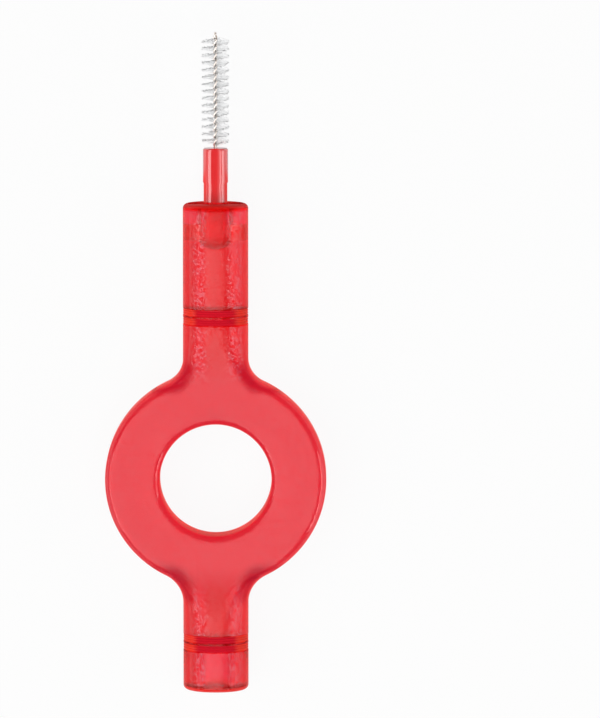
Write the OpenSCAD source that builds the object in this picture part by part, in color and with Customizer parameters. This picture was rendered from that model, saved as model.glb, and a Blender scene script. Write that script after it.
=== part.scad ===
// Interdental brush: a ring holder with two tubes, and one brush pushed into the top tube.
// It lies flat. The origin is the centre of the finger hole, +Y runs towards the brush's tip,
// +X across the ring and +Z up out of the ring's face. All sizes are in millimetres.

/* [Finger ring] */
// Width of the ring, across the tubes
ring_w = 20; // [18:0.1:24]
// Length of the ring, along the tubes
ring_len = 19.5; // [17.5:0.1:23]
// Thickness of the ring between its flat faces
ring_t = 4; // [3:0.1:5.4]
// Rounding of the ring's outer edges
ring_edge_r = 0.9; // [0.5:0.05:1.2]
// Diameter of the finger hole
hole_d = 10.1; // [8:0.1:11.5]
// Rounding of the finger hole's two edges
hole_edge_r = 0.75; // [0.3:0.05:0.9]

/* [Tubes] */
// Outer diameter of both tubes
tube_d = 5.9; // [5.6:0.1:7]
// How far the top tube stands out of the ring
top_tube_len = 15.25; // [12:0.25:20]
// How far the bottom tube stands out of the ring
bottom_tube_len = 9.45; // [8.5:0.05:16]
// Rounding of the tubes' end rims
rim_r = 0.45; // [0.2:0.05:0.7]
// Radius of the fillet between the ring's outline and the top tube
top_neck_r = 2.45; // [1.5:0.05:3.5]
// Radius of the fillet between the ring's outline and the bottom tube
bottom_neck_r = 2.9; // [1.5:0.05:3.5]

/* [Line bands] */
// Distance from the ring to the band of two lines round each tube
band_gap = 4.35; // [4:0.05:6]
// Width of one line of the band
line_w = 0.65; // [0.4:0.05:0.9]
// Depth of one line of the band
line_depth = 0.05; // [0.02:0.01:0.2]
// Width of the ridge between the two lines
line_ridge = 0.15; // [0.06:0.01:0.3]

/* [Brush shank] */
// Diameter of the shank where the bristles start
shank_d = 2.26; // [2:0.02:2.6]
// Diameter of the shank's lower part
shank_low_d = 2.14; // [1.9:0.02:2.6]
// Width of the flats on the shank's front and back
shank_flat_w = 1; // [0.8:0.02:1.4]
// Full length of the shank
shank_len = 9.1; // [7.5:0.1:12]
// Length of the shank's wider part
shank_head_len = 3.2; // [2.5:0.1:3.6]
// Length of shank inside the top tube
insert_len = 4.1; // [3.2:0.1:5]
// Span across both locking ears
ear_span = 4.7; // [4:0.05:4.8]
// Length of an ear along the shank
ear_len = 1.46; // [1:0.02:1.8]
// Thickness of an ear
ear_t = 1.3; // [1:0.05:1.6]
// Distance from the shank's round end to the ears
ear_setback = 0.8; // [0.5:0.05:1.2]

/* [Bores] */
// Clearance round the shank in its bore, on the radius
shank_gap = 0.05; // [0.02:0.01:0.1]
// Clearance round the ears in their slot
ear_gap = 0.08; // [0.04:0.02:0.14]
// Clearance below the seated brush
seat_gap = 0.04; // [0.02:0.01:0.1]
// Diameter of the blind bore in the bottom tube
bottom_bore_d = 2.4; // [1.6:0.1:3.2]
// Depth of that bore's straight wall
bottom_bore_depth = 4.7; // [3:0.1:5.5]

/* [Twisted wire] */
// Diameter of one strand of the wire
strand_d = 0.16; // [0.12:0.01:0.2]
// Gap between the two strands, where the filaments are held
strand_gap = 0.08; // [0.06:0.01:0.12]
// Length of wire inside the shank
wire_hold = 3.4; // [2:0.1:5]
// Length of bare wire beyond the last row of bristles
bare_tip = 0.55; // [0.3:0.05:1]
// Clearance round the wire in the shank, on the radius
wire_gap = 0.01; // [0.01:0.01:0.03]

/* [Bristles] */
// Diameter over the bristles
bristle_d = 2.5; // [1.8:0.1:4]
// Thickness of one filament
filament_t = 0.05; // [0.03:0.01:0.05]
// Length along the wire of one row, which is half a twist
row_pitch = 0.64; // [0.6:0.01:0.9]
// Distance from the shank to the first row
row_start = 0.3; // [0.1:0.05:0.8]

/* [Hidden] */
ROW_COUNT = 15;
FILAMENTS_PER_ROW = 12;
SECTION_POINTS = 36;
STRAND_SIDES = 6;
RINGS_PER_TWIST = 10;
LOOP_RINGS = 8;
LOFT_STEP = 7; // degrees between the sections round the ring and round a neck
EDGE_STEPS = 6;
EDGE_END = 80; // degrees of the finger hole's rounding before it flares out
RIM_STEPS = 4;
BLEND_STEPS = 5;
CUT_OVER = 1; // how far a cut runs past the face that it opens

function row_name(k) = str("bristle_row_", k < 10 ? "0" : "", k);

tube_r = tube_d / 2;
ring_end = ring_len / 2;
top_end = ring_end + top_tube_len;
bottom_end = ring_end + bottom_tube_len;

// The ring's thickness starts to swell towards the tube's at this share of the ring's half
// length, and reaches it at this share of the run from the ring to the line band.
swell_start_share = 0.81;
swell_end_share = 0.84;
swell_start = ring_end * swell_start_share;
swell_end = ring_end + band_gap * swell_end_share;
lines_start = ring_end + band_gap;

// The brush, from its round end to its tip
shank_end = top_end - insert_len;
shank_top = shank_end + shank_len;
ear_seat = shank_end + ear_setback;
strand_r = strand_d / 2;
helix_r = (strand_d + strand_gap) / 2;
wire_r = helix_r + strand_r;
twist_pitch = 2 * row_pitch;
rows_end = shank_top + row_start + ROW_COUNT * row_pitch;
wire_tip = rows_end + bare_tip;
core_d = strand_gap * 0.8;
core_end_gap = filament_t / 5;

/* Blends and outlines */

function mix(a, b, u) = a + (b - a) * u;
function ease(u) = let (c = min(max(u, 0), 1)) c * c * (3 - 2 * c);

// The outline is worked out on a round ring, which is then shortened along Y to ring_len.
shorten = ring_len / ring_w;
function neck_centre_y(neck_r) = sqrt(pow(ring_w / 2 + neck_r, 2) - pow(tube_r + neck_r, 2));
function neck_angle(neck_r) = asin(neck_centre_y(neck_r) / (ring_w / 2 + neck_r));

// One section of the holder: [y, half width, half thickness, corner's half width and height]
function section(y, half_w, slope) =
    let (
        u = ease((y - swell_start) / (swell_end - swell_start)),
        half_t = mix(ring_t / 2, tube_r, u),
        corner_t = mix(ring_edge_r, tube_r, u),
        corner_w = min(corner_t * sqrt(1 + slope * slope), half_w)
    ) [y, half_w, half_t, corner_w, corner_t];

// Sections from the middle of the ring up to the neck's fillet
function ring_sections(neck_r, first) =
    let (last = neck_angle(neck_r), n = round(last / LOFT_STEP))
    [for (i = [first:n]) let (a = last * i / n)
        section(ring_end * sin(a), ring_w / 2 * cos(a), tan(a) / shorten)];

// Sections round the neck's fillet, which ends where the tube's sides are straight
function neck_sections(neck_r) =
    let (start = neck_angle(neck_r), n = round(start / LOFT_STEP), cy = neck_centre_y(neck_r))
    [for (i = [1:n]) let (a = start * (1 - i / n))
        section((cy - neck_r * sin(a)) * shorten, tube_r + neck_r * (1 - cos(a)), tan(a) / shorten)];

// Sections along the straight sides, while the thickness is still swelling
function swell_sections(neck_r) =
    let (start = neck_centre_y(neck_r) * shorten)
    [for (i = [1:BLEND_STEPS]) section(mix(start, swell_end, i / BLEND_STEPS), tube_r, 0)];

function round_section(y, r) = [y, r, r, r, r];
// Two shallow lines round the tube, with a ridge between them
line_shape_shares = [[0, 0], [0.25, 1], [0.75, 1], [1, 0]];
function line_sections(y) =
    [for (s = line_shape_shares) round_section(y + line_w * s[0], tube_r - line_depth * s[1])];
function band_sections() = concat(
    line_sections(lines_start),
    line_sections(lines_start + line_w + line_ridge));

// The rounded rim at a tube's end
function rim_sections(end) =
    [for (i = [0:RIM_STEPS]) let (a = 90 * i / RIM_STEPS)
        round_section(end - rim_r + rim_r * sin(a), tube_r - rim_r + rim_r * cos(a))];

// All sections from the middle of the ring to one tube's end
function half_sections(neck_r, end, first) = concat(
    ring_sections(neck_r, first), neck_sections(neck_r), swell_sections(neck_r),
    band_sections(), rim_sections(end));

// The points of one section. No point lies on an axis, so round and flat-sided sections match.
function side(v) = v < 0 ? -1 : 1;
function section_ring(s, y_side) = [
    for (i = [0:SECTION_POINTS - 1])
        let (a = (i + 0.5) * 360 / SECTION_POINTS, c = cos(a), d = sin(a))
        [side(c) * (s[1] - s[3] + s[3] * abs(c)), s[0] * y_side, side(d) * (s[2] - s[4] + s[4] * abs(d))]];

/* Solids from rings of points */

// A closed solid through rings that have the same number of points
module loft(rings) {
    n = len(rings[0]);
    last = len(rings) - 1;
    sides = [for (k = [0:last - 1], i = [0:n - 1]) let (a = k * n, b = a + n, j = (i + 1) % n)
        each [[a + i, b + i, b + j], [a + i, b + j, a + j]]];
    start_cap = [for (i = [0:n - 1]) i];
    end_cap = [for (i = [n - 1:-1:0]) last * n + i];
    polyhedron([for (ring = rings) each ring], concat([start_cap], sides, [end_cap]), convexity = 6);
}

// Turns what is built along +Z so that it runs along +Y
module along_y(y) {
    translate([0, y, 0])
        rotate([-90, 0, 0])
            children();
}

/* Holder */

module holder_body() {
    top = half_sections(top_neck_r, top_end, 0);
    bottom = half_sections(bottom_neck_r, bottom_end, 1);
    n = len(bottom);
    loft(concat(
        [for (i = [n - 1:-1:0]) section_ring(bottom[i], -1)],
        [for (s = top) section_ring(s, 1)]));
}

// A point of the finger hole's rounded edge, from the straight wall (0) towards the face (90)
function hole_edge(a) =
    [hole_d / 2 + hole_edge_r * (1 - cos(a)), ring_t / 2 - hole_edge_r + hole_edge_r * sin(a)];

// Half of the finger hole's wall: straight, rounded, then flared so that it crosses the face
function hole_profile() = concat(
    [for (i = [0:EDGE_STEPS]) hole_edge(EDGE_END * i / EDGE_STEPS)],
    [hole_edge(EDGE_END) + CUT_OVER * [1, 1 / tan(EDGE_END)]]);

module finger_hole_cut() {
    upper = hole_profile();
    n = len(upper);
    top_z = upper[n - 1][1];
    rotate_extrude($fn = 96)
        polygon(concat(
            [[0, -top_z]],
            [for (i = [n - 1:-1:0]) [upper[i][0], -upper[i][1]]],
            upper,
            [[0, top_z]]));
}

// Round bore for the shank and a flat slot for its two ears, both open at the tube's end
module brush_socket_cut() {
    bore_r = shank_d / 2 + shank_gap;
    bore_end = shank_end - seat_gap;
    slot_floor = ear_seat - seat_gap;
    slot_w = ear_span + 2 * ear_gap;
    slot_t = ear_t + 2 * ear_gap;
    straight_start = bore_end + bore_r;
    along_y(straight_start)
        cylinder(h = top_end - straight_start + CUT_OVER, r = bore_r, $fn = 64);
    along_y(straight_start)
        sphere(r = bore_r, $fn = 64);
    translate([-slot_w / 2, slot_floor, -slot_t / 2])
        cube([slot_w, top_end - slot_floor + CUT_OVER, slot_t]);
}

// Blind bore with a drill-like cone at its end
module bottom_bore_cut() {
    bore_r = bottom_bore_d / 2;
    mouth = -bottom_end;
    along_y(mouth - CUT_OVER)
        cylinder(h = bottom_bore_depth + CUT_OVER, r = bore_r, $fn = 64);
    along_y(mouth + bottom_bore_depth)
        cylinder(h = bore_r / 2, r1 = bore_r, r2 = 0, $fn = 64);
}

module holder() {
    color([0.86, 0.1, 0.14, 0.9])
        difference() {
            holder_body();
            finger_hole_cut();
            brush_socket_cut();
            bottom_bore_cut();
        }
}

/* Brush */

// Outline of the shank, from its axis: round end, lower part, step and wider part
shank_low_r = shank_low_d / 2;
shank_r = shank_d / 2;
shank_step = shank_len - shank_head_len;
shank_chamfer = shank_low_d / 16;
function shank_profile() = concat(
    [for (i = [0:EDGE_STEPS]) let (a = 90 * i / EDGE_STEPS)
        [shank_low_r * sin(a), shank_low_r * (1 - cos(a))]],
    [[shank_low_r, shank_step], [shank_r, shank_step + shank_chamfer], [shank_r, shank_len - shank_chamfer],
        [shank_r - shank_chamfer, shank_len], [0, shank_len]]);

// Half the thickness between the flats that a round part of radius r gets
function flat_z(r) = sqrt(r * r - shank_flat_w * shank_flat_w / 4);

// What lies between the two flats. They keep one width over the step, so they step with it.
module between_flats() {
    low_z = flat_z(shank_low_r);
    head_z = flat_z(shank_r);
    head_start = shank_step + shank_chamfer;
    end = shank_len + CUT_OVER;
    rotate([90, 0, 90])
        linear_extrude(height = 2 * shank_d, center = true)
            polygon([
                [-low_z, -CUT_OVER], [-low_z, shank_step], [-head_z, head_start], [-head_z, end],
                [head_z, end], [head_z, head_start], [low_z, shank_step], [low_z, -CUT_OVER]]);
}

module brush_shank() {
    hold_r = wire_r + wire_gap;
    color([0.85, 0.08, 0.12])
        difference() {
            union() {
                along_y(shank_end)
                    intersection() {
                        rotate_extrude($fn = 64)
                            polygon(shank_profile());
                        between_flats();
                    }
                translate([-ear_span / 2, ear_seat, -ear_t / 2])
                    cube([ear_span, ear_len, ear_t]);
            }
            along_y(shank_top - wire_hold)
                cylinder(h = wire_hold + CUT_OVER, r = hold_r, $fn = 32);
        }
}

// Angle of the filaments at a distance along the wire, zero in the middle of each row
function twist_at(y) = 180 * (y - shank_top - row_start) / row_pitch - 90;

// A ring of points round the wire's path, at point p with tangent t and inward direction n
function unit(v) = v / norm(v);
function path_ring(p, t, n) =
    let (square_n = unit(n - t * (n * t)), b = cross(t, square_n))
    [for (i = [0:STRAND_SIDES - 1]) let (a = 360 * i / STRAND_SIDES)
        p + strand_r * (cos(a) * square_n + sin(a) * b)];

rise_per_radian = twist_pitch / (2 * PI);
strand_top = wire_tip - helix_r - strand_r;
strand_bottom = shank_top - wire_hold + wire_gap;

// One strand's ring at height z, going up the wire (way = 1) or down it (way = -1)
function strand_ring(z, way) =
    let (a = twist_at(z) + 90 * way, out = [cos(a), sin(a), 0], along = [-sin(a), cos(a), 0])
    path_ring(helix_r * out + [0, 0, z], way * unit(helix_r * along + [0, 0, rise_per_radian]), -out);

// The fold at the tip, where one strand turns over and becomes the other
function fold_ring(s) =
    let (
        a = twist_at(strand_top) + 90,
        out = [cos(a), sin(a), 0],
        along = [-sin(a), cos(a), 0],
        up = [0, 0, 1],
        lean = helix_r * helix_r / rise_per_radian,
        p = helix_r * (cos(s) * out + sin(s) * up) + lean / 2 * sin(2 * s) * along + [0, 0, strand_top],
        t = unit(helix_r * (cos(s) * up - sin(s) * out) + lean * cos(2 * s) * along)
    ) path_ring(p, t, -cos(s) * out - sin(s) * up);

module twisted_wire() {
    n = round((strand_top - strand_bottom) / twist_pitch * RINGS_PER_TWIST);
    heights = [for (i = [0:n]) mix(strand_bottom, strand_top, i / n)];
    color([0.62, 0.58, 0.55])
        along_y(0)
            loft(concat(
                [for (z = heights) strand_ring(z, 1)],
                [for (i = [1:LOOP_RINGS - 1]) fold_ring(180 * i / LOOP_RINGS)],
                [for (i = [n:-1:0]) strand_ring(heights[i], -1)]));
}

// One row: filaments that pass between the strands, each turned a little further than the last,
// joined by the thin slice of core that they share
module bristle_row(k) {
    row_low = shank_top + row_start + (k - 1) * row_pitch;
    spacing = row_pitch / FILAMENTS_PER_ROW;
    color([0.93, 0.94, 0.96])
        along_y(0)
            union() {
                translate([0, 0, row_low + core_end_gap])
                    cylinder(h = row_pitch - 2 * core_end_gap, d = core_d, $fn = 16);
                for (i = [0:FILAMENTS_PER_ROW - 1])
                    let (z = row_low + (i + 0.5) * spacing)
                    translate([0, 0, z])
                        rotate([0, 0, twist_at(z)])
                            cube([bristle_d, filament_t, filament_t], center = true);
            }
}

holder();
brush_shank();
twisted_wire();
for (k = [1:ROW_COUNT])
    bristle_row(k);
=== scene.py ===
"""Looks of the interdental brush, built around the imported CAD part.

Sizes are in millimetres until a mesh, a texture or the camera needs metres. The shapes repeat the named
sizes of the CAD part, with finer steps.
"""

import math
import random
from types import SimpleNamespace

import bmesh
import bpy
from mathutils import Matrix, Vector


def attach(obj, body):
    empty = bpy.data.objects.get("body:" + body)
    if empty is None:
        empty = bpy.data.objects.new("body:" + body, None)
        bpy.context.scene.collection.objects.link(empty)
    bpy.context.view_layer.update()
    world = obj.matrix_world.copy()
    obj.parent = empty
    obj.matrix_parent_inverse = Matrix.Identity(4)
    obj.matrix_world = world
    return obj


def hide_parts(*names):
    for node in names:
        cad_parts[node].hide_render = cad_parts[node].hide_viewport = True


MM = 0.001
SEED = 700

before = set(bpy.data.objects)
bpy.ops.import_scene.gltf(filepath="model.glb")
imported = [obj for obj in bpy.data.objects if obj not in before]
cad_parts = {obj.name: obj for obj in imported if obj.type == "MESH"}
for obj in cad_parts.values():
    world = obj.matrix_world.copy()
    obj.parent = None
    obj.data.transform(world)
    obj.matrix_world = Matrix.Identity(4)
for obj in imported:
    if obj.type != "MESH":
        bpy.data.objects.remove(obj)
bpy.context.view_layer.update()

# Sizes of the CAD part, in millimetres
RING_W = 20.0
RING_LEN = 19.5
RING_T = 4.0
RING_EDGE_R = 0.9
HOLE_R = 10.1 / 2
HOLE_EDGE_R = 0.75
TUBE_R = 5.9 / 2
TOP_TUBE_LEN = 15.25
BOTTOM_TUBE_LEN = 9.45
RIM_R = 0.45
TOP_NECK_R = 2.45
BOTTOM_NECK_R = 2.9
BAND_GAP = 4.35
SWELL_START_SHARE = 0.81
SWELL_END_SHARE = 0.84
LINE_W = 0.65
LINE_DEPTH = 0.05
LINE_RIDGE = 0.15
LINE_GROOVES = 3
SHANK_R = 2.26 / 2
SHANK_LOW_R = 2.14 / 2
SHANK_FLAT_W = 1.0
SHANK_LEN = 9.1
SHANK_HEAD_LEN = 3.2
SHANK_CHAMFER_SHARE = 1 / 8
INSERT_LEN = 4.1
EAR_SPAN = 4.7
EAR_LEN = 1.46
EAR_T = 1.3
EAR_SETBACK = 0.8
SHANK_GAP = 0.05
EAR_GAP = 0.08
SEAT_GAP = 0.04
BOTTOM_BORE_R = 2.4 / 2
BOTTOM_BORE_DEPTH = 4.7
STRAND_R = 0.16 / 2
STRAND_GAP = 0.08
WIRE_HOLD = 3.4
BARE_TIP = 0.55
WIRE_GAP = 0.01
BRISTLE_R = 2.5 / 2
ROW_PITCH = 0.64
ROW_START = 0.3
ROW_COUNT = 15

RING_END = RING_LEN / 2
TOP_END = RING_END + TOP_TUBE_LEN
BOTTOM_END = RING_END + BOTTOM_TUBE_LEN
SWELL_START = RING_END * SWELL_START_SHARE
SWELL_END = RING_END + BAND_GAP * SWELL_END_SHARE
LINES_START = RING_END + BAND_GAP
SECOND_LINE = LINES_START + LINE_W + LINE_RIDGE
LINES_END = SECOND_LINE + LINE_W
SHORTEN = RING_LEN / RING_W
SHANK_END = TOP_END - INSERT_LEN
SHANK_TOP = SHANK_END + SHANK_LEN
EAR_SEAT = SHANK_END + EAR_SETBACK
EAR_TOP = EAR_SEAT + EAR_LEN
HELIX_R = STRAND_R + STRAND_GAP / 2
WIRE_R = HELIX_R + STRAND_R
TWIST_PITCH = 2 * ROW_PITCH
ROWS_LOW = SHANK_TOP + ROW_START
WIRE_TIP = ROWS_LOW + ROW_COUNT * ROW_PITCH + BARE_TIP

# Steps of the meshes. The loft's step is in degrees.
SECTION_POINTS = 144
LOFT_STEP = 0.75
EDGE_STEPS = 10
RIM_STEPS = 10
BLEND_STEPS = 24
ROUND_SIDES = 96
SHANK_SIDES = 240
HOLE_SIDES = 256
WIRE_BORE_SIDES = 32

# How far a cutter runs past the face that it cuts, and the angle, in degrees, at which the finger hole's
# rounded edge goes over into its cutter's flare
OVERRUN = 1.0
FLARE_ANGLE = 80

# Angles, in degrees, above which an edge of the holder or the brush stays sharp, and the weight at which
# only the area of the faces sets the shading between softer edges
HOLDER_CREASE = 40
BRUSH_CREASE = 60
AREA_WEIGHT = 100


def mix(a, b, u):
    """The number that lies the share u of the way from a to b."""
    return a + (b - a) * u


def ease(u):
    """A smooth step from 0 to 1."""
    c = min(max(u, 0.0), 1.0)
    return c * c * (3 - 2 * c)


# Meshes


def make_object(name, points, faces):
    """An object in the part's frame from points in millimetres, with its faces turned outwards."""
    mesh = bpy.data.meshes.new(name)
    mesh.from_pydata([Vector(p) * MM for p in points], [], faces)
    bm = bmesh.new()
    bm.from_mesh(mesh)
    bmesh.ops.recalc_face_normals(bm, faces=bm.faces)
    bm.to_mesh(mesh)
    bm.free()
    obj = bpy.data.objects.new(name, mesh)
    bpy.context.scene.collection.objects.link(obj)
    return obj


def ring_faces(first, n):
    """Faces between two neighbouring rings of n points each. The lower ring starts at point first."""
    faces = []
    for i in range(n):
        j = (i + 1) % n
        faces.append((first + i, first + j, first + n + j, first + n + i))
    return faces


def loft_faces(ring_count, n, first=0):
    """Faces of a closed solid through rings of n points each."""
    faces = []
    for k in range(ring_count - 1):
        faces += ring_faces(first + k * n, n)
    faces.append(tuple(first + i for i in reversed(range(n))))
    faces.append(tuple(first + (ring_count - 1) * n + i for i in range(n)))
    return faces


def loft(name, rings):
    """A closed solid through rings of points, one after the other."""
    points = [p for ring in rings for p in ring]
    return make_object(name, points, loft_faces(len(rings), len(rings[0])))


def turned(name, profile, axis, sides):
    """A closed solid of revolution. The profile holds (radius, height), and starts and ends on the axis.

    Points 0 and 1 are its two ends on the axis. The rings between them follow.
    """
    inner = profile[1:-1]
    points = [(0.0, 0.0, profile[0][1]), (0.0, 0.0, profile[-1][1])]
    for r, z in inner:
        for i in range(sides):
            a = 2 * math.pi * i / sides
            points.append((r * math.cos(a), r * math.sin(a), z))
    faces = []
    first = 2
    for k in range(len(inner) - 1):
        faces += ring_faces(first + k * sides, sides)
    last = first + (len(inner) - 1) * sides
    for i in range(sides):
        j = (i + 1) % sides
        faces.append((0, first + j, first + i))
        faces.append((1, last + i, last + j))
    if axis == "Y":
        points = [(x, z, -y) for x, y, z in points]
    return make_object(name, points, faces)


def slab(name, low, high):
    """A box between two corners."""
    points = [(x, y, z) for x in (low[0], high[0]) for y in (low[1], high[1]) for z in (low[2], high[2])]
    faces = [(0, 1, 3, 2), (4, 6, 7, 5), (0, 4, 5, 1), (2, 3, 7, 6), (0, 2, 6, 4), (1, 5, 7, 3)]
    return make_object(name, points, faces)


def apply_modifiers(obj):
    """Makes what the modifiers show the object's own mesh."""
    bpy.context.view_layer.update()
    graph = bpy.context.evaluated_depsgraph_get()
    mesh = bpy.data.meshes.new_from_object(obj.evaluated_get(graph))
    old = obj.data
    obj.modifiers.clear()
    obj.data = mesh
    bpy.data.meshes.remove(old)


def combine(obj, others, operation):
    """Cuts the others out of obj, or joins them to it, and removes them."""
    for other in others:
        step = obj.modifiers.new(other.name, "BOOLEAN")
        step.operation = operation
        step.solver = "EXACT"
        step.object = other
    apply_modifiers(obj)
    for other in others:
        mesh = other.data
        bpy.data.objects.remove(other)
        bpy.data.meshes.remove(mesh)


def smooth(obj, angle):
    """Smooth shading, with edges sharper than the angle, in degrees, kept, and flat faces kept flat."""
    obj.data.shade_smooth()
    obj.data.set_sharp_from_angle(angle=math.radians(angle))
    weighted = obj.modifiers.new("even_normals", "WEIGHTED_NORMAL")
    weighted.keep_sharp = True
    weighted.weight = AREA_WEIGHT


# Holder


def section(y, half_w, slope):
    """One section: y, half width, half thickness, and the corner's half width and height."""
    u = ease((y - SWELL_START) / (SWELL_END - SWELL_START))
    half_t = mix(RING_T / 2, TUBE_R, u)
    corner_t = mix(RING_EDGE_R, TUBE_R, u)
    corner_w = min(corner_t * math.sqrt(1 + slope * slope), half_w)
    return (y, half_w, half_t, corner_w, corner_t)


def neck_centre_y(neck_r):
    """Height of the centre of a neck's arc, on a ring that isn't shortened yet."""
    return math.sqrt((RING_W / 2 + neck_r) ** 2 - (TUBE_R + neck_r) ** 2)


def neck_angle(neck_r):
    """Angle on the ring, from its widest place, where the neck's arc starts."""
    return math.asin(neck_centre_y(neck_r) / (RING_W / 2 + neck_r))


def ring_sections(neck_r):
    """The ring, from its middle to where the neck's arc starts."""
    last = neck_angle(neck_r)
    n = round(math.degrees(last) / LOFT_STEP)
    angles = [last * i / n for i in range(n + 1)]
    half_w = RING_W / 2
    return [section(RING_END * math.sin(a), half_w * math.cos(a), math.tan(a) / SHORTEN) for a in angles]


def neck_sections(neck_r):
    """The neck's arc, from the ring to the tube's width."""
    start, cy = neck_angle(neck_r), neck_centre_y(neck_r)
    n = round(math.degrees(start) / LOFT_STEP)
    found = []
    for i in range(1, n + 1):
        a = start * (1 - i / n)
        y = (cy - neck_r * math.sin(a)) * SHORTEN
        found.append(section(y, TUBE_R + neck_r * (1 - math.cos(a)), math.tan(a) / SHORTEN))
    return found


def swell_sections(neck_r):
    """The tube's lower end, until it is fully round."""
    start = neck_centre_y(neck_r) * SHORTEN
    steps = range(1, BLEND_STEPS + 1)
    return [section(mix(start, SWELL_END, i / BLEND_STEPS), TUBE_R, 0.0) for i in steps]


def round_section(y, r):
    """A section that is a full circle."""
    return (y, r, r, r, r)


def line_sections(y):
    """One shallow line round the tube: fine grooves side by side."""
    steps = 2 * LINE_GROOVES
    found = []
    for i in range(steps + 1):
        found.append(round_section(y + LINE_W * i / steps, TUBE_R - LINE_DEPTH * (i % 2)))
    return found


def rim_sections(end):
    """The rounded rim at a tube's end."""
    found = []
    for i in range(RIM_STEPS + 1):
        a = math.pi / 2 * i / RIM_STEPS
        y, r = end - RIM_R + RIM_R * math.sin(a), TUBE_R - RIM_R + RIM_R * math.cos(a)
        found.append(round_section(y, r))
    return found


def half_sections(neck_r, end):
    """All sections from the ring's middle to the end of one tube."""
    return (
        ring_sections(neck_r)
        + neck_sections(neck_r)
        + swell_sections(neck_r)
        + line_sections(LINES_START)
        + line_sections(SECOND_LINE)
        + rim_sections(end)
    )


def section_ring(shape, y_side):
    """The points round one section, on the side of the ring that y_side says."""
    y, half_w, half_t, corner_w, corner_t = shape
    ring = []
    for i in range(SECTION_POINTS):
        a = 2 * math.pi * (i + 0.5) / SECTION_POINTS
        c, d = math.cos(a), math.sin(a)
        x = math.copysign(half_w - corner_w + corner_w * abs(c), c)
        z = math.copysign(half_t - corner_t + corner_t * abs(d), d)
        ring.append((x, y * y_side, z))
    return ring


def finger_hole_cutter():
    """Straight wall, rounded edges, then a flare that crosses each face."""
    flare_angle = math.radians(FLARE_ANGLE)
    edge_z = RING_T / 2 - HOLE_EDGE_R
    upper = []
    for i in range(EDGE_STEPS + 1):
        a = flare_angle * i / EDGE_STEPS
        upper.append((HOLE_R + HOLE_EDGE_R * (1 - math.cos(a)), edge_z + HOLE_EDGE_R * math.sin(a)))
    r, z = upper[-1]
    upper.append((r + OVERRUN, z + OVERRUN / math.tan(flare_angle)))
    z_top = upper[-1][1]
    profile = [(0.0, -z_top)] + [(r, -z) for r, z in reversed(upper)] + upper + [(0.0, z_top)]
    return turned("hole_cutter", profile, "Z", HOLE_SIDES)


def socket_cutters():
    """The shank's round bore with a round end, and the flat slot for its ears."""
    bore_r = SHANK_R + SHANK_GAP
    bore_end = SHANK_END - SEAT_GAP
    over = TOP_END + OVERRUN
    profile = [(0.0, bore_end)]
    for i in range(1, EDGE_STEPS + 1):
        a = math.pi / 2 * i / EDGE_STEPS
        profile.append((bore_r * math.sin(a), bore_end + bore_r * (1 - math.cos(a))))
    profile += [(bore_r, over), (0.0, over)]
    bore = turned("bore_cutter", profile, "Y", ROUND_SIDES)
    half_w, half_t = EAR_SPAN / 2 + EAR_GAP, EAR_T / 2 + EAR_GAP
    slot = slab("slot_cutter", (-half_w, EAR_SEAT - SEAT_GAP, -half_t), (half_w, over, half_t))
    return [bore, slot]


def bottom_bore_cutter():
    """A blind bore in the lower tube, with a blunt cone at its floor."""
    low = -BOTTOM_END - OVERRUN
    floor = -BOTTOM_END + BOTTOM_BORE_DEPTH
    cone_len = BOTTOM_BORE_R / 2
    profile = [(0.0, low), (BOTTOM_BORE_R, low), (BOTTOM_BORE_R, floor), (0.0, floor + cone_len)]
    return turned("bottom_cutter", profile, "Y", ROUND_SIDES)


def build_holder():
    """The finger ring with its two tubes, the hole and the bores."""
    top = half_sections(TOP_NECK_R, TOP_END)
    bottom = half_sections(BOTTOM_NECK_R, BOTTOM_END)
    rings = [section_ring(s, -1) for s in reversed(bottom[1:])] + [section_ring(s, 1) for s in top]
    obj = loft("holder_body", rings)
    combine(obj, [finger_hole_cutter(), *socket_cutters(), bottom_bore_cutter()], "DIFFERENCE")
    smooth(obj, HOLDER_CREASE)
    return obj


# Brush


# As moulded, the shank's flats are crowned a little, meet the round sides in soft corners and run out
# over a short length at the step. Its edges are slightly rounded.
SHANK_CROWN_R = 26.0
SHANK_CORNER = 0.05
FLAT_RUN = 1.2
FLAT_RUN_STEPS = 8
CHAMFER_STEP_SHARES = (0.0, 0.3, 1.0)
BEVEL_W = 0.05
BEVEL_STEPS = 2
BEVEL_ANGLE = 50


def flat_z(r):
    """Half the thickness between the flats that a round part of radius r gets."""
    return math.sqrt(r * r - SHANK_FLAT_W**2 / 4)


def lower_of(a, b, blend):
    """The lower of two heights, with a rounded corner where they cross."""
    u = min(max(0.5 + (b - a) / (2 * blend), 0.0), 1.0)
    return mix(b, a, u) - blend * u * (1 - u)


def shank_ring(r, half_t, y):
    """A circle with two crowned flats, front and back."""
    ring = []
    for i in range(SHANK_SIDES):
        a = 2 * math.pi * i / SHANK_SIDES
        x, z = r * math.cos(a), r * math.sin(a)
        flat = half_t - x * x / (2 * SHANK_CROWN_R)
        ring.append((x, y, math.copysign(lower_of(abs(z), flat, SHANK_CORNER), z)))
    return ring


def stem_rings(chamfer):
    """The round lower end and the thinner stem, up to where its flats run out."""
    low_z = flat_z(SHANK_LOW_R)
    rings = []
    for i in range(1, EDGE_STEPS + 1):
        a = math.pi / 2 * i / EDGE_STEPS
        y = SHANK_LOW_R * (1 - math.cos(a))
        rings.append(shank_ring(SHANK_LOW_R * math.sin(a), low_z, SHANK_END + y))
    rings.append(shank_ring(SHANK_LOW_R, low_z, SHANK_END + (SHANK_LOW_R + chamfer / 2)))
    return rings


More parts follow.
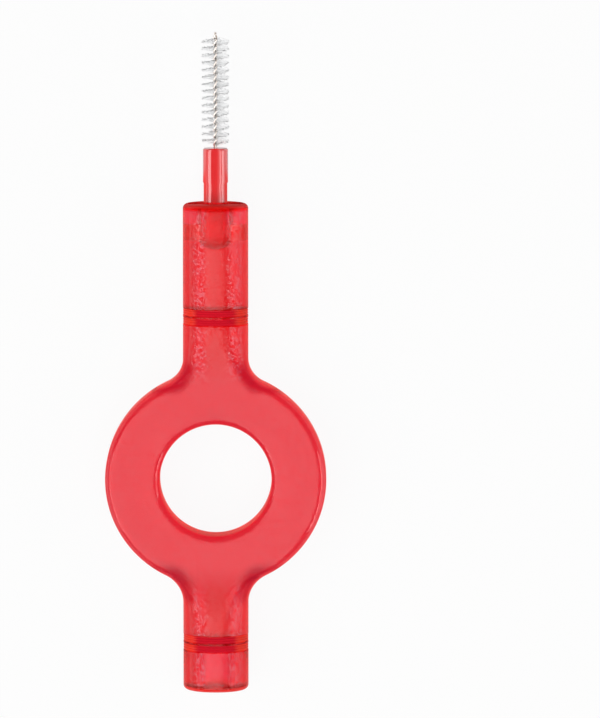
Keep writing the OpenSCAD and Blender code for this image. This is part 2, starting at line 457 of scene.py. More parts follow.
def step_rings(step):
    """The flats of the stem blend softly into those of the head."""
    low_z, head_z = flat_z(SHANK_LOW_R), flat_z(SHANK_R)
    rings = []
    for i in range(FLAT_RUN_STEPS + 1):
        y = SHANK_END + step - FLAT_RUN * (1 - i / FLAT_RUN_STEPS)
        u = ease(i / FLAT_RUN_STEPS)
        low_ring = shank_ring(SHANK_LOW_R, low_z, y)
        head_ring = shank_ring(SHANK_R, head_z, y)
        rings.append([(a[0], y, mix(a[2], b[2], u)) for a, b in zip(low_ring, head_ring)])
    return rings


def head_rings(step, chamfer):
    """The head, from the step to its chamfered top."""
    near = chamfer / 2
    head = [(SHANK_R, y) for y in (step + chamfer, step + chamfer + near, SHANK_LEN - chamfer - near)]
    head += [(SHANK_R - chamfer * s, SHANK_LEN - chamfer * (1 - s)) for s in CHAMFER_STEP_SHARES]
    return [shank_ring(r, flat_z(SHANK_R), SHANK_END + y) for r, y in head]


def build_shank():
    """The moulding that holds the wire, with two ears that key into the holder."""
    step = SHANK_LEN - SHANK_HEAD_LEN
    chamfer = SHANK_LOW_R * SHANK_CHAMFER_SHARE
    obj = loft("shank_body", stem_rings(chamfer) + step_rings(step) + head_rings(step, chamfer))
    ears = slab("ears", (-EAR_SPAN / 2, EAR_SEAT, -EAR_T / 2), (EAR_SPAN / 2, EAR_TOP, EAR_T / 2))
    combine(obj, [ears], "UNION")
    hold_r = WIRE_R + WIRE_GAP
    low, high = SHANK_TOP - WIRE_HOLD, SHANK_TOP + OVERRUN
    profile = [(0.0, low), (hold_r, low), (hold_r, high), (0.0, high)]
    combine(obj, [turned("wire_cutter", profile, "Y", WIRE_BORE_SIDES)], "DIFFERENCE")
    bevel = obj.modifiers.new("edges", "BEVEL")
    bevel.width = BEVEL_W * MM
    bevel.segments = BEVEL_STEPS
    bevel.limit_method = "ANGLE"
    bevel.angle_limit = math.radians(BEVEL_ANGLE)
    apply_modifiers(obj)
    smooth(obj, BRUSH_CREASE)
    return obj


# Steps of the wire's mesh
STRAND_SIDES = 12
RINGS_PER_TWIST = 28
LOOP_RINGS = 14


def twist_at(y):
    """Angle of the filaments at a height on the wire. In the middle of each row they lie along X."""
    return math.pi * (y - ROWS_LOW) / ROW_PITCH - math.pi / 2


def path_ring(centre, heading, outward):
    """A strand's outline round a point of its path."""
    square = (outward - heading * outward.dot(heading)).normalized()
    side = heading.cross(square)
    ring = []
    for i in range(STRAND_SIDES):
        a = 2 * math.pi * i / STRAND_SIDES
        ring.append(centre + STRAND_R * (math.cos(a) * square + math.sin(a) * side))
    return ring


def build_wire():
    """Two strands round each other, joined by the fold at the tip. Built along +Z, then turned to +Y."""
    climb = TWIST_PITCH / (2 * math.pi)
    top = WIRE_TIP - HELIX_R - STRAND_R
    low = SHANK_TOP - WIRE_HOLD + WIRE_GAP
    up = Vector((0, 0, 1))
    n = round((top - low) / TWIST_PITCH * RINGS_PER_TWIST)
    heights = [mix(low, top, i / n) for i in range(n + 1)]

    def sides_at(z, way):
        a = twist_at(z) + math.pi / 2 * way
        return Vector((math.cos(a), math.sin(a), 0)), Vector((-math.sin(a), math.cos(a), 0))

    def strand(z, way):
        out, along = sides_at(z, way)
        heading = way * (HELIX_R * along + climb * up).normalized()
        return path_ring(HELIX_R * out + z * up, heading, -out)

    def fold(s):
        out, along = sides_at(top, 1)
        lean = HELIX_R * HELIX_R / climb
        c, d = math.cos(s), math.sin(s)
        centre = HELIX_R * (c * out + d * up) + lean / 2 * math.sin(2 * s) * along + top * up
        heading = (HELIX_R * (c * up - d * out) + lean * math.cos(2 * s) * along).normalized()
        return path_ring(centre, heading, -c * out - d * up)

    rings = [strand(z, 1) for z in heights]
    rings += [fold(math.pi * i / LOOP_RINGS) for i in range(1, LOOP_RINGS)]
    rings += [strand(z, -1) for z in reversed(heights)]
    obj = loft("core_wire", [[(p.x, p.z, -p.y) for p in ring] for ring in rings])
    smooth(obj, BRUSH_CREASE)
    return obj


FILAMENTS_PER_ROW = 22
FILAMENT_SIDES = 6
FILAMENT_R = 0.032
FILAMENT_STEPS = 6

# How far the filaments stray: in degrees round the wire, as the shortest's share of the full length, and
# along the wire and across at the tips
STRAY_ANGLE = 5
SHORTEST_SHARE = 0.96
TIP_RISE = 0.09
TIP_TURN = 0.06


def build_row(k):
    """The filaments of one half twist: each runs through the wire and stands out on both sides."""
    dice = random.Random(SEED + k)
    points, faces = [], []
    low = ROWS_LOW + (k - 1) * ROW_PITCH
    up = Vector((0, 1, 0))
    for i in range(FILAMENTS_PER_ROW):
        y = low + (i + 0.5) * ROW_PITCH / FILAMENTS_PER_ROW
        a = twist_at(y) + math.radians(dice.uniform(-STRAY_ANGLE, STRAY_ANGLE))
        out = Vector((math.cos(a), 0, -math.sin(a)))
        across = out.cross(up)
        for way in (-1, 1):
            reach = BRISTLE_R * dice.uniform(SHORTEST_SHARE, 1.0)
            tip_rise = dice.uniform(-TIP_RISE, TIP_RISE)
            tip_turn = dice.uniform(-TIP_TURN, TIP_TURN)
            first = len(points)
            for s in range(FILAMENT_STEPS + 1):
                u = s / FILAMENT_STEPS
                p = out * (way * reach * u) + up * (y + tip_rise * u * u) + across * (tip_turn * u * u)
                for m in range(FILAMENT_SIDES):
                    b = 2 * math.pi * m / FILAMENT_SIDES
                    points.append(p + FILAMENT_R * (math.cos(b) * up + math.sin(b) * across))
            faces += loft_faces(FILAMENT_STEPS + 1, FILAMENT_SIDES, first)
    obj = make_object(f"bristles_{k:02d}", points, faces)
    obj.data.shade_smooth()
    return obj


# Materials


def new_material(name, **values):
    """A material with one Principled shader, its sockets set by name with underscores for spaces."""
    mat = bpy.data.materials.new(name)
    mat.use_nodes = True
    shader = mat.node_tree.nodes["Principled BSDF"]
    for key, value in values.items():
        shader.inputs[key.replace("_", " ")].default_value = value
    return mat, mat.node_tree, shader


def feed(tree, socket, value):
    """Sets a socket to a value, or links it to the output of another node."""
    if isinstance(value, bpy.types.NodeSocket):
        tree.links.new(value, socket)
    else:
        socket.default_value = value


def number_node(tree, operation, *values):
    """One Math node. Each value is a number or an output of another node."""
    node = tree.nodes.new("ShaderNodeMath")
    node.operation = operation
    for socket, value in zip(node.inputs, values):
        feed(tree, socket, value)
    return node.outputs[0]


def vector_node(tree, operation, *values):
    """One Vector Math node. A number that scales a vector comes last."""
    node = tree.nodes.new("ShaderNodeVectorMath")
    node.operation = operation
    sockets = [node.inputs[0], node.inputs["Scale"]] if operation == "SCALE" else node.inputs
    for socket, value in zip(sockets, values):
        feed(tree, socket, value)
    return node.outputs["Vector"]


def product(tree, first, *others):
    for other in others:
        first = number_node(tree, "MULTIPLY", first, other)
    return first


def larger(tree, a, b):
    return number_node(tree, "MAXIMUM", a, b)


def size_of(tree, value):
    return number_node(tree, "ABSOLUTE", value)


def all_but(tree, share):
    """What a share leaves of 1."""
    return number_node(tree, "SUBTRACT", 1.0, share)


def between(tree, share, a, b):
    """A number between two others: a where the share is 0, b where it is 1."""
    return number_node(tree, "MULTIPLY_ADD", share, b - a, a)


def distance_to(tree, across, along):
    """The length of a line that goes so far across and so far along."""
    squares = number_node(tree, "ADD", product(tree, across, across), product(tree, along, along))
    return number_node(tree, "SQRT", squares)


def ramp(tree, value, low, high, from_value, to_value):
    """Runs smoothly from one number to another while the value goes from low to high, in millimetres."""
    node = tree.nodes.new("ShaderNodeMapRange")
    node.interpolation_type = "SMOOTHSTEP"
    tree.links.new(value, node.inputs["Value"])
    node.inputs["From Min"].default_value = low * MM
    node.inputs["From Max"].default_value = high * MM
    node.inputs["To Min"].default_value = from_value
    node.inputs["To Max"].default_value = to_value
    return node.outputs["Result"]


def rise(tree, value, low, high):
    return ramp(tree, value, low, high, 0.0, 1.0)


def fall(tree, value, low, high):
    return ramp(tree, value, low, high, 1.0, 0.0)


def mix_colors(tree, share, a, b):
    """A colour between two, each given as numbers or as an output of another node."""
    node = tree.nodes.new("ShaderNodeMix")
    node.data_type = "RGBA"
    color_a, color_b, color_result = node.inputs[6], node.inputs[7], node.outputs[2]
    tree.links.new(share, node.inputs["Factor"])
    feed(tree, color_a, a)
    feed(tree, color_b, b)
    return color_result


def mix_shaders(tree, share, a, b, output_name):
    """Ends a tree with shader a where the share is 0, and b where it is 1."""
    join = tree.nodes.new("ShaderNodeMixShader")
    tree.links.new(share, join.inputs["Fac"])
    tree.links.new(a.outputs[0], join.inputs[1])
    tree.links.new(b.outputs[0], join.inputs[2])
    tree.links.new(join.outputs[0], tree.nodes[output_name].inputs["Surface"])


def own_place(tree):
    """The place on the object, in the object's own coordinates and in metres."""
    return tree.nodes.new("ShaderNodeTexCoord").outputs["Object"]


def place_axes(tree):
    """The place's x, y and z, each as an output of its own."""
    place = tree.nodes.new("ShaderNodeSeparateXYZ")
    tree.links.new(own_place(tree), place.inputs["Vector"])
    return place.outputs


def add_relief(tree, shader, scale, detail, strength, depth):
    """Fine unevenness of the surface. The scale is per metre, the depth in millimetres."""
    noise = tree.nodes.new("ShaderNodeTexNoise")
    noise.inputs["Scale"].default_value = scale
    noise.inputs["Detail"].default_value = detail
    tree.links.new(own_place(tree), noise.inputs["Vector"])
    bump = tree.nodes.new("ShaderNodeBump")
    bump.inputs["Strength"].default_value = strength
    bump.inputs["Distance"].default_value = depth * MM
    tree.links.new(noise.outputs["Fac"], bump.inputs["Height"])
    tree.links.new(bump.outputs["Normal"], shader.inputs["Normal"])


# Masks of the holder: where each fade starts and ends, along an axis or from a tube's end
MASK_EDGE = 0.03
LINE_TINT_REACH = 0.06
LINE_CLOUD_REACH = -0.03
TUBE_SIDE_X = (1.5, 2.2)
MOUTH_FADE = (0.2 * RIM_R, RIM_R)
RIM_FADE = (RIM_R, 1.5 * RIM_R)
TOP_RIM_Y = (TOP_END - 2 * RIM_R, TOP_END - RIM_R)
OVER_SHANK_X = (SHANK_R * 0.8, SHANK_R * 1.15)
OVER_SHANK_Y = (SHANK_END - 0.2, SHANK_END + 0.8)
SLOT_FLOOR_Y = (EAR_SEAT - 0.2, EAR_SEAT - 0.1)
EARS_LOW_Y = (EAR_SEAT - 0.3, EAR_SEAT + 0.3)
EARS_HIGH_Y = (EAR_TOP + 0.1, EAR_TOP + 0.5)
ABOVE_EARS_SHARE = 0.4
FLAT_FACE_Z = (RING_T / 2 - 0.1, RING_T / 2 - 0.03)
GRAIN_Y = (RING_END * 0.85, RING_END * 1.1)

# The two stripes of coarse grain, which also paint a highlight of pinkish sparkle: where each starts, is
# full, starts to fade and ends, along x
GRAIN_HIGHLIGHT_STRIPES = ((-2.3, -1.6, -1.2, -0.4), (0.7, 1.6, 2.1, 2.7))

# The painted shade in the hollows beside the necks: widths from the neck's edge inwards, the fade along
# the tube from the centre of the neck's arc, and how much narrower it gets between two distances from the
# middle
HOLLOW_RISE = 0.35
HOLLOW_FULL = 0.7
HOLLOW_END = 1.6
HOLLOW_ALONG = (-0.8, 0.5)
HOLLOW_NARROW_X = (2.8, 5.0)
HOLLOW_NARROWING = 0.6


def line_bands(tree, y, reach):
    """1 on the tubes' line bands, 0 elsewhere. Each edge of a band moves outwards by the reach."""
    along = size_of(tree, y)
    bands = []
    for start in (LINES_START, SECOND_LINE):
        low, high = start - reach, start + LINE_W + reach
        into = rise(tree, along, low - MASK_EDGE, low + MASK_EDGE)
        out = fall(tree, along, high - MASK_EDGE, high + MASK_EDGE)
        bands.append(product(tree, into, out))
    return larger(tree, *bands)


def tube_ends(tree, y, full, none):
    """1 on the end faces of the tubes, fading to 0 between two distances from them."""
    top = rise(tree, y, TOP_END - none, TOP_END - full)
    bottom = fall(tree, y, full - BOTTOM_END, none - BOTTOM_END)
    return larger(tree, top, bottom)


def over_shank(tree, x, y):
    """1 on the tube where the shank is inside, 0 elsewhere."""
    return product(tree, fall(tree, size_of(tree, x), *OVER_SHANK_X), rise(tree, y, *OVER_SHANK_Y))


def painted_light_over_ears(tree, y):
    """Painted light: 1 on the tube where the ears are inside, 0 below them, and a share of 1 above."""
    above = ramp(tree, y, *EARS_HIGH_Y, 1.0, ABOVE_EARS_SHARE)
    return product(tree, rise(tree, y, *EARS_LOW_Y), above)


def inner_walls(tree, x, y, z):
    """Two masks: 1 on all walls of the bores and the ears' slot, and 1 on those that are drawn clear."""
    bore_r = max(SHANK_R + SHANK_GAP, BOTTOM_BORE_R) + MASK_EDGE
    in_bore = fall(tree, distance_to(tree, x, z), bore_r, bore_r + MASK_EDGE)
    in_bore = product(tree, in_bore, rise(tree, size_of(tree, y), LINES_END, LINES_END + MASK_EDGE))
    half_w = EAR_SPAN / 2 + EAR_GAP + MASK_EDGE
    half_t = EAR_T / 2 + EAR_GAP + MASK_EDGE
    across = fall(tree, size_of(tree, x), half_w, half_w + MASK_EDGE)
    deep = fall(tree, size_of(tree, z), half_t, half_t + MASK_EDGE)
    in_slot = product(tree, across, deep, rise(tree, y, *SLOT_FLOOR_Y))
    round_high = SHANK_END + SHANK_R
    round_end = product(tree, in_bore, fall(tree, y, round_high - MASK_EDGE, round_high))
    round_end = product(tree, round_end, rise(tree, y, 0, RING_END))
    beside_bore = number_node(tree, "SUBTRACT", in_slot, in_bore)
    return larger(tree, in_bore, in_slot), larger(tree, beside_bore, round_end)


def grain_highlight_stripes(tree, x, y):
    """1 on the tubes' two stripes of coarse grain and painted highlight, fading to 0 beside them and on
    the ring.
    """
    stripes = []
    for start, full, fading, end in GRAIN_HIGHLIGHT_STRIPES:
        stripes.append(product(tree, rise(tree, x, start, full), fall(tree, x, fading, end)))
    both = number_node(tree, "ADD", *stripes)
    return product(tree, both, rise(tree, size_of(tree, y), *GRAIN_Y))


def neck_painted_shade(tree, x, y):
    """Painted shade: 1 in the four hollows where the tubes flow into the ring, fading to 0 round them."""
    aside = size_of(tree, x)
    narrowing = ramp(tree, aside, *HOLLOW_NARROW_X, 0.0, HOLLOW_NARROWING * MM)
    hollow_shade = []
    for way, neck_r in ((1, TOP_NECK_R), (-1, BOTTOM_NECK_R)):
        across = number_node(tree, "SUBTRACT", aside, (TUBE_R + neck_r) * MM)
        along = number_node(tree, "MULTIPLY_ADD", y, way, -neck_centre_y(neck_r) * SHORTEN * MM)
        away = distance_to(tree, across, along)
        into = rise(tree, away, neck_r, neck_r + HOLLOW_RISE)
        narrowed = number_node(tree, "ADD", away, narrowing)
        out = fall(tree, narrowed, neck_r + HOLLOW_FULL, neck_r + HOLLOW_END)
        hollow_shade.append(product(tree, into, out, fall(tree, along, *HOLLOW_ALONG)))
    return larger(tree, *hollow_shade)


def holder_masks(tree):
    """The places where the holder's surface differs. Each mask is 1 there and fades to 0 elsewhere."""
    x, y, z = place_axes(tree)
    bands = line_bands(tree, y, LINE_TINT_REACH)
    inner, clear = inner_walls(tree, x, y, z)
    return SimpleNamespace(
        bands=bands,
        band_floors=line_bands(tree, y, LINE_CLOUD_REACH),
        inner=inner,
        clear=clear,
        frosted=all_but(tree, larger(tree, bands, inner)),
        sides=rise(tree, size_of(tree, x), *TUBE_SIDE_X),
        grain_highlights=grain_highlight_stripes(tree, x, y),
        hollow_shade=neck_painted_shade(tree, x, y),
        mouths=tube_ends(tree, y, *MOUTH_FADE),
        rims=tube_ends(tree, y, *RIM_FADE),
        below_rim=fall(tree, y, *TOP_RIM_Y),
        over_shank=over_shank(tree, x, y),
        painted_light_over_ears=painted_light_over_ears(tree, y),
        flat_faces=rise(tree, size_of(tree, z), *FLAT_FACE_Z),
    )


# Frosting of the holder: roughness, grains per metre, how much they lean, and the shares of light that
# they scatter in the coarse stripes, where the scatter paints highlight sparkle, and elsewhere
FROST_ROUGHNESS = 0.2
POLISH_ROUGHNESS = 0.1
MOUTH_ROUGHNESS = 0.5
COARSE_SCALE = 7000
COARSE_TILT = 0.4
COARSE_SCATTER = 0.18
FINE_SCALE = 20000
FINE_TILT = 0.35
FINE_SCATTER = 0.03
FINE_AMONG_COARSE = 0.7
SPARKLE_POWER = 2.0

# Shares of the plastic that are clouded in the line bands, in the middle and at the sides of a tube, where
# they show the bands' painted shade
LINE_CLOUD = 0.8
LINE_SIDE_CLOUD = 0.9

# Shares of the outer gloss that are left over the shank, on the coarse grain's painted highlight and in
# the painted shade of the hollows, and the share that the line bands lose
GLOSS_OVER_SHANK = 0.4
GLOSS_ON_COARSE = 0.4
GLOSS_IN_HOLLOW_SHADE = 0.05
GLOSS_LOST_ON_LINES = 0.85

# Tints of the light that crosses the holder's surface, and of what its clouded places scatter
PLAIN_TINT = (0.8, 1, 1, 1)
# Painted highlight: the pinkish sparkle that the coarse stripes scatter
COARSE_HIGHLIGHT_TINT = (0.86, 0.82, 1, 1)
# Painted shade: the dark bluish red of the hollows beside the necks
HOLLOW_SHADE_TINT = (0.48, 0.4, 0.65, 1)
# Painted shade: the crimson of the line bands, brighter red towards the tube's sides
LINE_SHADE_TINT = (0.72, 0.01, 0.03, 1)
LINE_SIDE_SHADE_TINT = (0.95, 0.04, 0.02, 1)
RIM_TINT = (0.9, 0.02, 0.015, 1)
NO_TINT = (1, 1, 1, 1)

# What the plastic's depth leaves of white, and how strong that is in one millimetre
DEPTH_TINT = (0.993, 0.1, 0.28, 1)
DEPTH_DENSITY = 1.25


def frost_cells(tree, scale):
    """Three random numbers from 0 to 1 for each grain of the frosting, of 1 / scale metres."""
    cells = tree.nodes.new("ShaderNodeTexVoronoi")
    cells.inputs["Scale"].default_value = scale
    tree.links.new(own_place(tree), cells.inputs["Vector"])
    return cells.outputs["Color"]


def facets(tree, cells, tilt):
    """How much each grain of the frosting leans. The tilt is 0 where the surface is bare."""
    either_way = vector_node(tree, "SUBTRACT", cells, (0.5, 0.5, 0.5))
    return vector_node(tree, "SCALE", either_way, tilt)


def sparkle(tree, cells):
    """How much light each grain scatters, from 0 to 1: most of them little, a few much."""
    parts = tree.nodes.new("ShaderNodeSeparateXYZ")
    tree.links.new(cells, parts.inputs["Vector"])
    return number_node(tree, "POWER", parts.outputs[0], SPARKLE_POWER)


def holder_tint_and_painted_light(tree, masks):
    """The tint of each place, painted highlight, light and shade among them. A later one covers those
    before it.
    """
    line_shade = mix_colors(tree, masks.sides, LINE_SHADE_TINT, LINE_SIDE_SHADE_TINT)
    tint = PLAIN_TINT
    for mask, color in (
        (masks.grain_highlights, COARSE_HIGHLIGHT_TINT),
        (masks.hollow_shade, HOLLOW_SHADE_TINT),
        (masks.bands, line_shade),
        (masks.inner, NO_TINT),
        # Painted light: a brighter red over the ears
        (masks.painted_light_over_ears, NO_TINT),
        (masks.rims, RIM_TINT),
    ):
        tint = mix_colors(tree, mask, tint, color)
    return tint


def holder_clearness(tree, masks, cells):
    """How much light the surface lets through. The tubes' ends, line bands and grains cloud it."""
    lines = product(tree, masks.band_floors, between(tree, masks.sides, LINE_CLOUD, LINE_SIDE_CLOUD))
    scatter = between(tree, masks.grain_highlights, FINE_SCATTER, COARSE_SCATTER)
    elsewhere = all_but(tree, larger(tree, masks.bands, masks.rims))
    scatter = product(tree, scatter, sparkle(tree, cells), elsewhere)
    clouded = number_node(tree, "ADD", larger(tree, masks.mouths, lines), scatter)
    return all_but(tree, product(tree, clouded, all_but(tree, masks.inner)))


def holder_gloss(tree, masks):
    """How much of the outer gloss each place has."""
    left = product(
        tree,
        between(tree, masks.over_shank, 1.0, GLOSS_OVER_SHANK),
        between(tree, masks.grain_highlights, 1.0, GLOSS_ON_COARSE),
        between(tree, masks.hollow_shade, 1.0, GLOSS_IN_HOLLOW_SHADE),
    )
    at_sides = product(tree, masks.sides, masks.bands)
    lost = larger(tree, at_sides, product(tree, masks.bands, GLOSS_LOST_ON_LINES))
    return product(tree, left, number_node(tree, "SUBTRACT", masks.below_rim, lost))


def holder_roughness(tree, masks):
    """Rough where it is frosted, and most at the tubes' ends."""
    frosted = between(tree, masks.frosted, POLISH_ROUGHNESS, FROST_ROUGHNESS)
    return larger(tree, frosted, product(tree, masks.mouths, MOUTH_ROUGHNESS))


def holder_normal(tree, masks, coarse_cells):
    """The surface's normal. The coarse grains, and the fine ones on the flat faces, make it lean."""
    fine = product(tree, masks.flat_faces, between(tree, masks.grain_highlights, 1.0, FINE_AMONG_COARSE))
    fine_cells = frost_cells(tree, FINE_SCALE)
    normal = tree.nodes.new("ShaderNodeNewGeometry").outputs["Normal"]
    for share, cells, tilt in ((masks.grain_highlights, coarse_cells, COARSE_TILT), (fine, fine_cells, FINE_TILT)):
        lean = facets(tree, cells, product(tree, masks.frosted, share, tilt))
        normal = vector_node(tree, "ADD", normal, lean)
    return vector_node(tree, "NORMALIZE", normal)


def holder_material():
    """Red see-through plastic, coloured through its depth, with a finely frosted surface."""
    mat, tree, shader = new_material(
        "frosted_red_plastic",
        IOR=1.5,
        Specular_Tint=(1, 0.1, 0.1, 1),
        Coat_IOR=1.5,
        Coat_Roughness=0.1,
    )
    masks = holder_masks(tree)
    cells = frost_cells(tree, COARSE_SCALE)
    tree.links.new(holder_tint_and_painted_light(tree, masks), shader.inputs["Base Color"])
    tree.links.new(holder_clearness(tree, masks, cells), shader.inputs["Transmission Weight"])
    tree.links.new(holder_gloss(tree, masks), shader.inputs["Coat Weight"])
    tree.links.new(holder_roughness(tree, masks), shader.inputs["Roughness"])
    tree.links.new(holder_normal(tree, masks, cells), shader.inputs["Coat Normal"])
    clear = tree.nodes.new("ShaderNodeBsdfTransparent")
    mix_shaders(tree, masks.clear, shader, clear, "Material Output")
    depth = tree.nodes.new("ShaderNodeVolumeAbsorption")
    depth.inputs["Color"].default_value = DEPTH_TINT
    depth.inputs["Density"].default_value = DEPTH_DENSITY / MM
    tree.links.new(depth.outputs[0], tree.nodes["Material Output"].inputs["Volume"])
    return mat


# The shank's red, the darker red of painted shade on its stem inside the holder, where the holder
# starts to cover it, and how wide its stem is there
SHANK_RED = (1.0, 0.008, 0.012, 1)
SHANK_SHADED_RED = (0.75, 0.008, 0.012, 1)
SHANK_INSIDE_Y = (TOP_END - 0.5, TOP_END - 0.1)
SHANK_STEM_X = (SHANK_R - 0.1, SHANK_R)


def shank_material():
    """Glossy red plastic. Inside the holder it has no outer gloss, and its stem is painted darker as
    shade.
    """
    mat, tree, shader = new_material(
        "glossy_red_plastic",
        Roughness=0.1,
        IOR=1.5,
        Coat_IOR=2.2,
        Coat_Roughness=0.03,
    )
    x, y, _ = place_axes(tree)
    inside = fall(tree, y, *SHANK_INSIDE_Y)
    tree.links.new(all_but(tree, inside), shader.inputs["Coat Weight"])
    shaded_stem = product(tree, inside, fall(tree, size_of(tree, x), *SHANK_STEM_X))
    tree.links.new(mix_colors(tree, shaded_stem, SHANK_RED, SHANK_SHADED_RED), shader.inputs["Base Color"])
    add_relief(tree, shader, scale=900, detail=2.0, strength=0.15, depth=0.02)
    return mat


def wire_material():
    """Bright steel with drawing marks."""
    mat, tree, shader = new_material(
        "twisted_steel",
        Base_Color=(1.0, 0.91, 0.84, 1),
        Metallic=1.0,
        Roughness=0.28,
    )
    add_relief(tree, shader, scale=12000, detail=2.0, strength=0.3, depth=0.01)
    return mat


def bristle_material():
    """Clear nylon."""
    mat, tree, shader = new_material(
        "clear_nylon",
        Base_Color=(0.99, 0.992, 0.995, 1),
        Roughness=0.3,
        IOR=1.2,
        Transmission_Weight=0.96,
    )
    add_relief(tree, shader, scale=3000, detail=1.0, strength=0.2, depth=0.01)
    return mat


def dress(obj, mat, body, slot, *nodes):
    """Gives a piece its material and body, and hides the CAD nodes that it stands for. Its slot is not
    used.
    """
    obj.data.materials.clear()
    obj.data.materials.append(mat)
    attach(obj, body)
    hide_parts(*nodes)


dress(build_holder(), holder_material(), "holder", "holder_plastic", "holder")
dress(build_shank(), shank_material(), "brush", "shank_plastic", "brush_shank")
dress(build_wire(), wire_material(), "brush", "wire_steel", "twisted_wire")
nylon = bristle_material()
for row in range(1, ROW_COUNT + 1):
    dress(build_row(row), nylon, "brush", "bristle_nylon", f"bristle_row_{row:02d}")


# Floor, light and camera


# Half the floor's side, in millimetres
FLOOR_HALF = 1500.0

# Shares of plain white that the floor shows: to the camera, to mirrored rays, and to those close round
# the holder, where a red pool of its light is painted. The rest is lit by the soft boxes and the dim room.
FLOOR_GLOW = 0.93
FLOOR_GLINT = 0.2
NEAR_PAINTED_GLOW = 0.75
NEAR_X = (RING_W / 2 + 8, RING_W / 2 + 12)
NEAR_Y = (TOP_END + 1.5, TOP_END + 3.5)
NEAR_PAINTED_RED = (1.0, 0.08, 0.06, 1)
WHITE = (1, 1, 1, 1)
PALE = (0.8, 0.8, 0.8, 1)
ROOM_LIGHT = 0.13


def white_share(tree, seen, glint):
    """How much of a plain pale background each kind of ray sees.

    The camera sees the first share, and mirrored rays the second. Rays through the plastic see all of it.
    """
    path = tree.nodes.new("ShaderNodeLightPath")
    straight = product(tree, path.outputs["Is Camera Ray"], seen)
    mirrored = product(tree, path.outputs["Is Glossy Ray"], glint)
    return larger(tree, larger(tree, straight, mirrored), path.outputs["Is Transmission Ray"])


def near_part(tree):
    """1 on the floor under and close round the holder, where its red light is painted, fading to 0 further
    out.
    """
    x, y, _ = place_axes(tree)
    return product(tree, fall(tree, size_of(tree, x), *NEAR_X), fall(tree, size_of(tree, y), *NEAR_Y))


def build_floor():
    """A white floor that the part lies on. The camera sees it as plain white, with the part's shadow."""
    sides = ((-1, -1), (1, -1), (1, 1), (-1, 1))
    corners = [(x * FLOOR_HALF, y * FLOOR_HALF, -TUBE_R) for x, y in sides]
    obj = make_object("floor", corners, [(0, 1, 2, 3)])
    mat, tree, shader = new_material("white_floor", Base_Color=PALE, Roughness=0.9, Specular_IOR_Level=0.0)
    near = near_part(tree)
    path = tree.nodes.new("ShaderNodeLightPath")
    glossy, through = path.outputs["Is Glossy Ray"], path.outputs["Is Transmission Ray"]
    mirrored = number_node(tree, "SUBTRACT", glossy, through)
    glow = tree.nodes.new("ShaderNodeEmission")
    # Painted reflection: mirrored rays see a red glow on the floor close round the holder
    tint = mix_colors(tree, product(tree, near, mirrored), WHITE, NEAR_PAINTED_RED)
    tree.links.new(tint, glow.inputs["Color"])
    share = white_share(tree, FLOOR_GLOW, between(tree, near, FLOOR_GLINT, NEAR_PAINTED_GLOW))
    mix_shaders(tree, share, shader, glow, "Material Output")
    obj.data.materials.append(mat)


def build_world():
    """A dim room. The camera, and what is seen through the plastic, get a pale background instead."""
    world = bpy.data.worlds.new("studio")
    bpy.context.scene.world = world
    world.use_nodes = True
    tree = world.node_tree
    room = tree.nodes["Background"]
    room.inputs["Color"].default_value = WHITE
    room.inputs["Strength"].default_value = ROOM_LIGHT
    backdrop = tree.nodes.new("ShaderNodeBackground")
    backdrop.inputs["Color"].default_value = PALE
    backdrop.inputs["Strength"].default_value = 1.0
    mix_shaders(tree, white_share(tree, 1.0, 0.0), room, backdrop, "World Output")


def area_light(name, place, target, width, length, radiance):
    """A soft box with a given radiance, aimed at the target. Its length lies along Y."""
    light = bpy.data.lights.new(name, "AREA")
    light.shape = "RECTANGLE"
    light.size = width
    light.size_y = length
    light.energy = radiance * math.pi * width * length
    obj = bpy.data.objects.new(name, light)
    bpy.context.scene.collection.objects.link(obj)
    obj.location = place
    z = (Vector(place) - Vector(target)).normalized()
    x = Vector((0, 1, 0)).cross(z).normalized()
    obj.rotation_mode = "QUATERNION"
    obj.rotation_quaternion = Matrix((x, z.cross(x), z)).transposed().to_quaternion()


# Soft boxes over the part: name, first and last angle from straight above (towards +X), in degrees,
# length in metres, and radiance
SOFT_BOXES = [
    ("left_glow", -84, -66, 0.4, 0.5),
    ("left_strip", -64, -57, 0.4, 4.5),
    ("left_tent", -54, -3.2, 0.75, 1.65),
    ("middle", 0.3, 2.2, 0.75, 0.3),
    ("right_tent", 2.2, 27, 0.75, 1.65),
    ("right_strip", 58, 65, 0.4, 4.5),
    ("right_glow", 67, 88, 0.4, 1.5),
]


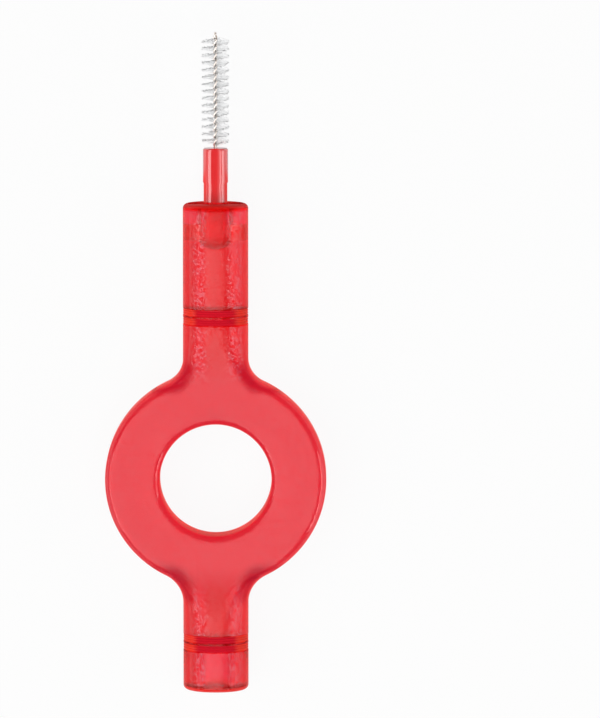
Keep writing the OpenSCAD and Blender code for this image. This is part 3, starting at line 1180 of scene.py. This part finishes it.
# Where the soft boxes aim, how far off they are and how far they stand back from the brush, in metres
SOFT_BOX_TARGET = (0, 0.01, 0)
SOFT_BOX_DISTANCE = 0.5
SOFT_BOX_SHIFT = -0.12


def build_lights():
    """Soft boxes in an arc over the part, all at the same distance from it."""
    target_y = SOFT_BOX_TARGET[1]
    for name, first, last, length, radiance in SOFT_BOXES:
        a = math.radians((first + last) / 2)
        width = 2 * SOFT_BOX_DISTANCE * math.tan(math.radians((last - first) / 2))
        across, up = SOFT_BOX_DISTANCE * math.sin(a), SOFT_BOX_DISTANCE * math.cos(a)
        place = (across, target_y + SOFT_BOX_SHIFT, up)
        area_light(name, place, SOFT_BOX_TARGET, width, length, radiance)


# The photograph's view: tilt in degrees, distance in metres, the scale and long side of the picture, and
# the point of the part's plane in its middle, in millimetres across and up
CAMERA_TILT = 6
CAMERA_DISTANCE = 0.7
PX_PER_MM = 11.05
LONG_SIDE_PX = 718
VIEW_ACROSS = 7.62
VIEW_UP = 10.81

# Width of the camera's sensor in millimetres, and its nearest and furthest sight in metres
SENSOR_W = 36.0
SIGHT_START = 0.01
SIGHT_END = 20.0


def build_camera():
    """Looks nearly straight down on the part, a little from the brush's side."""
    tilt = math.radians(CAMERA_TILT)
    back = Vector((0, math.sin(tilt), math.cos(tilt)))
    up = Vector((0, math.cos(tilt), -math.sin(tilt)))
    right = Vector((1, 0, 0))
    cam = bpy.data.cameras.new("photo_camera")
    cam.sensor_width = SENSOR_W
    cam.lens = PX_PER_MM * (CAMERA_DISTANCE / MM) * SENSOR_W / LONG_SIDE_PX
    cam.clip_start = SIGHT_START
    cam.clip_end = SIGHT_END
    obj = bpy.data.objects.new("photo_camera", cam)
    bpy.context.scene.collection.objects.link(obj)
    obj.location = (right * VIEW_ACROSS + up * VIEW_UP) * MM + back * CAMERA_DISTANCE
    obj.rotation_mode = "QUATERNION"
    obj.rotation_quaternion = Matrix((right, up, back)).transposed().to_quaternion()
    bpy.context.scene.camera = obj


build_floor()
build_world()
build_lights()
build_camera()
bpy.context.scene.view_settings.view_transform = "Standard"
